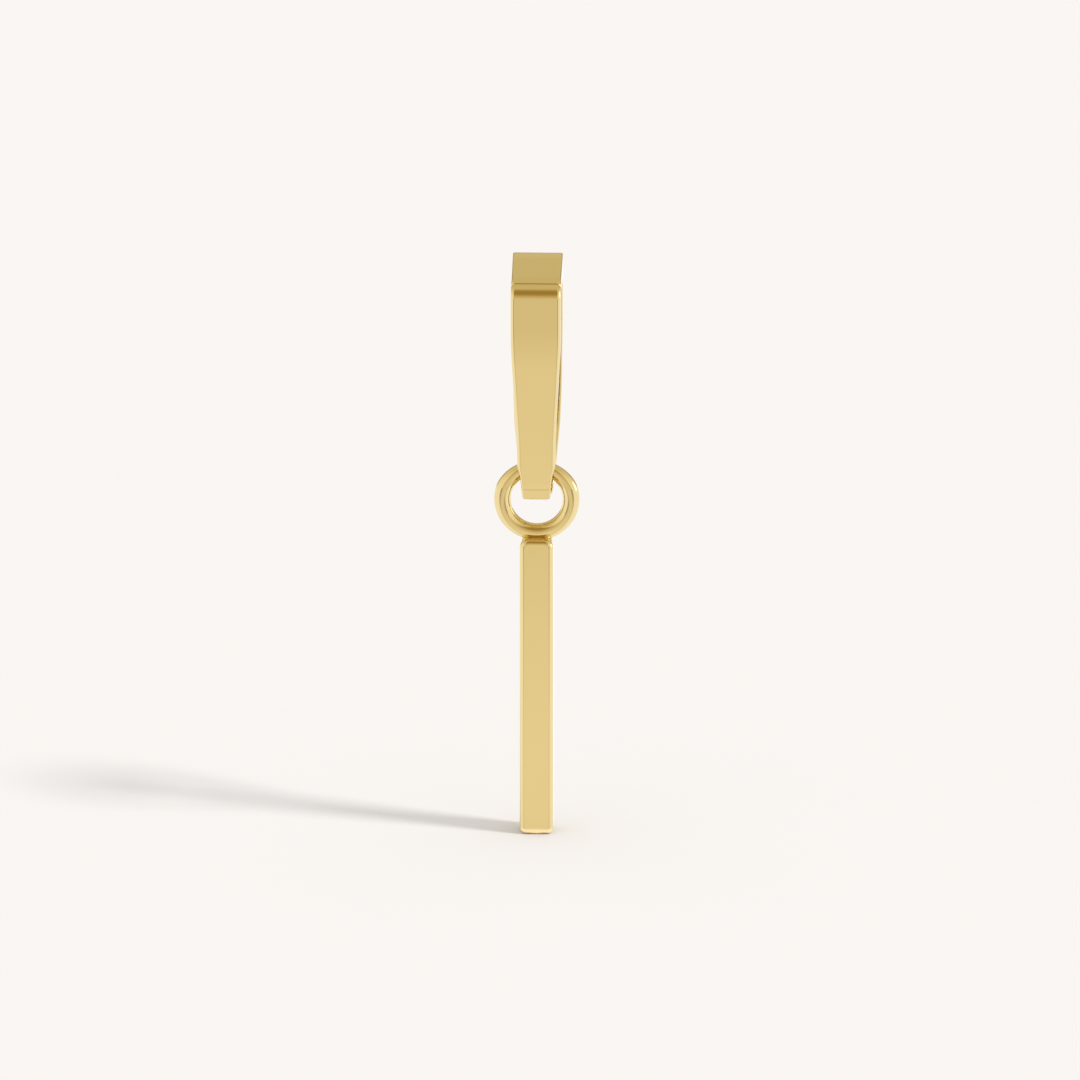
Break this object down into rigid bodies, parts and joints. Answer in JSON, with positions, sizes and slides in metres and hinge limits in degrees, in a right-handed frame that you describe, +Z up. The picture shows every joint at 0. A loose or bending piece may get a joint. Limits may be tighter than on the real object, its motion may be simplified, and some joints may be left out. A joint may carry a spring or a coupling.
{
  "type": "letter charm",
  "caption": "Plain bar letter soldered under a round ring, hanging from a tapered clip bail whose front plate swings open to take a chain.",
  "frame": {"origin": "where the chain bears, in the middle of the underside of the bail's top", "axes": "+Z up along the hanging charm, -Y to the front, the side of the gate, +X to the right seen from the front"},
  "size_m": [0.0028, 0.0026, 0.0192],
  "materials": {
    "polished_gold": "mirror polished yellow gold"
  },
  "bodies": {
    "hook": {"bail_hook": "polished_gold", "hinge_pin": "polished_gold"},
    "gate": {"bail_gate": "polished_gold"},
    "drop": {"letter_drop": "polished_gold"}
  },
  "joints": [
    {"name": "gate_hinge", "type": "hinge", "parent": "hook", "child": "gate", "pos_m": [0, 0, -0.00687], "axis": [1, 0, 0], "range_deg": [0, 45]},
    {"name": "drop_swing", "type": "hinge", "parent": "hook", "child": "drop", "pos_m": [0, 0, -0.00615], "axis": [1, 0, 0], "range_deg": [-45, 30]}
  ]
}
